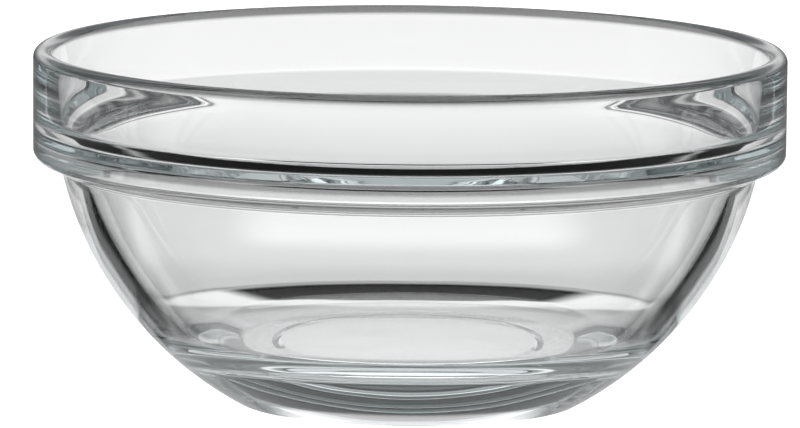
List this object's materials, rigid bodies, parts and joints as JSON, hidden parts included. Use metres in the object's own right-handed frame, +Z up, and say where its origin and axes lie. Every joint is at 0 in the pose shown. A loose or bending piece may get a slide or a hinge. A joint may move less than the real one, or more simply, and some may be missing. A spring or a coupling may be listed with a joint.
{
  "type": "salad bowl",
  "caption": "Clear pressed-glass stacking bowl with a rounded lip, a straight band, a shoulder under it, a spherical body and a small flat base.",
  "frame": {"origin": "centre of the base, on the surface that the bowl stands on", "axes": "+Z up along the bowl's axis of revolution; X and Y are alike"},
  "size_m": [0.12, 0.12, 0.0566],
  "materials": {
    "glass": "fire-polished, clear"
  },
  "bodies": {
    "root": {"bowl": "glass"}
  },
  "joints": []
}
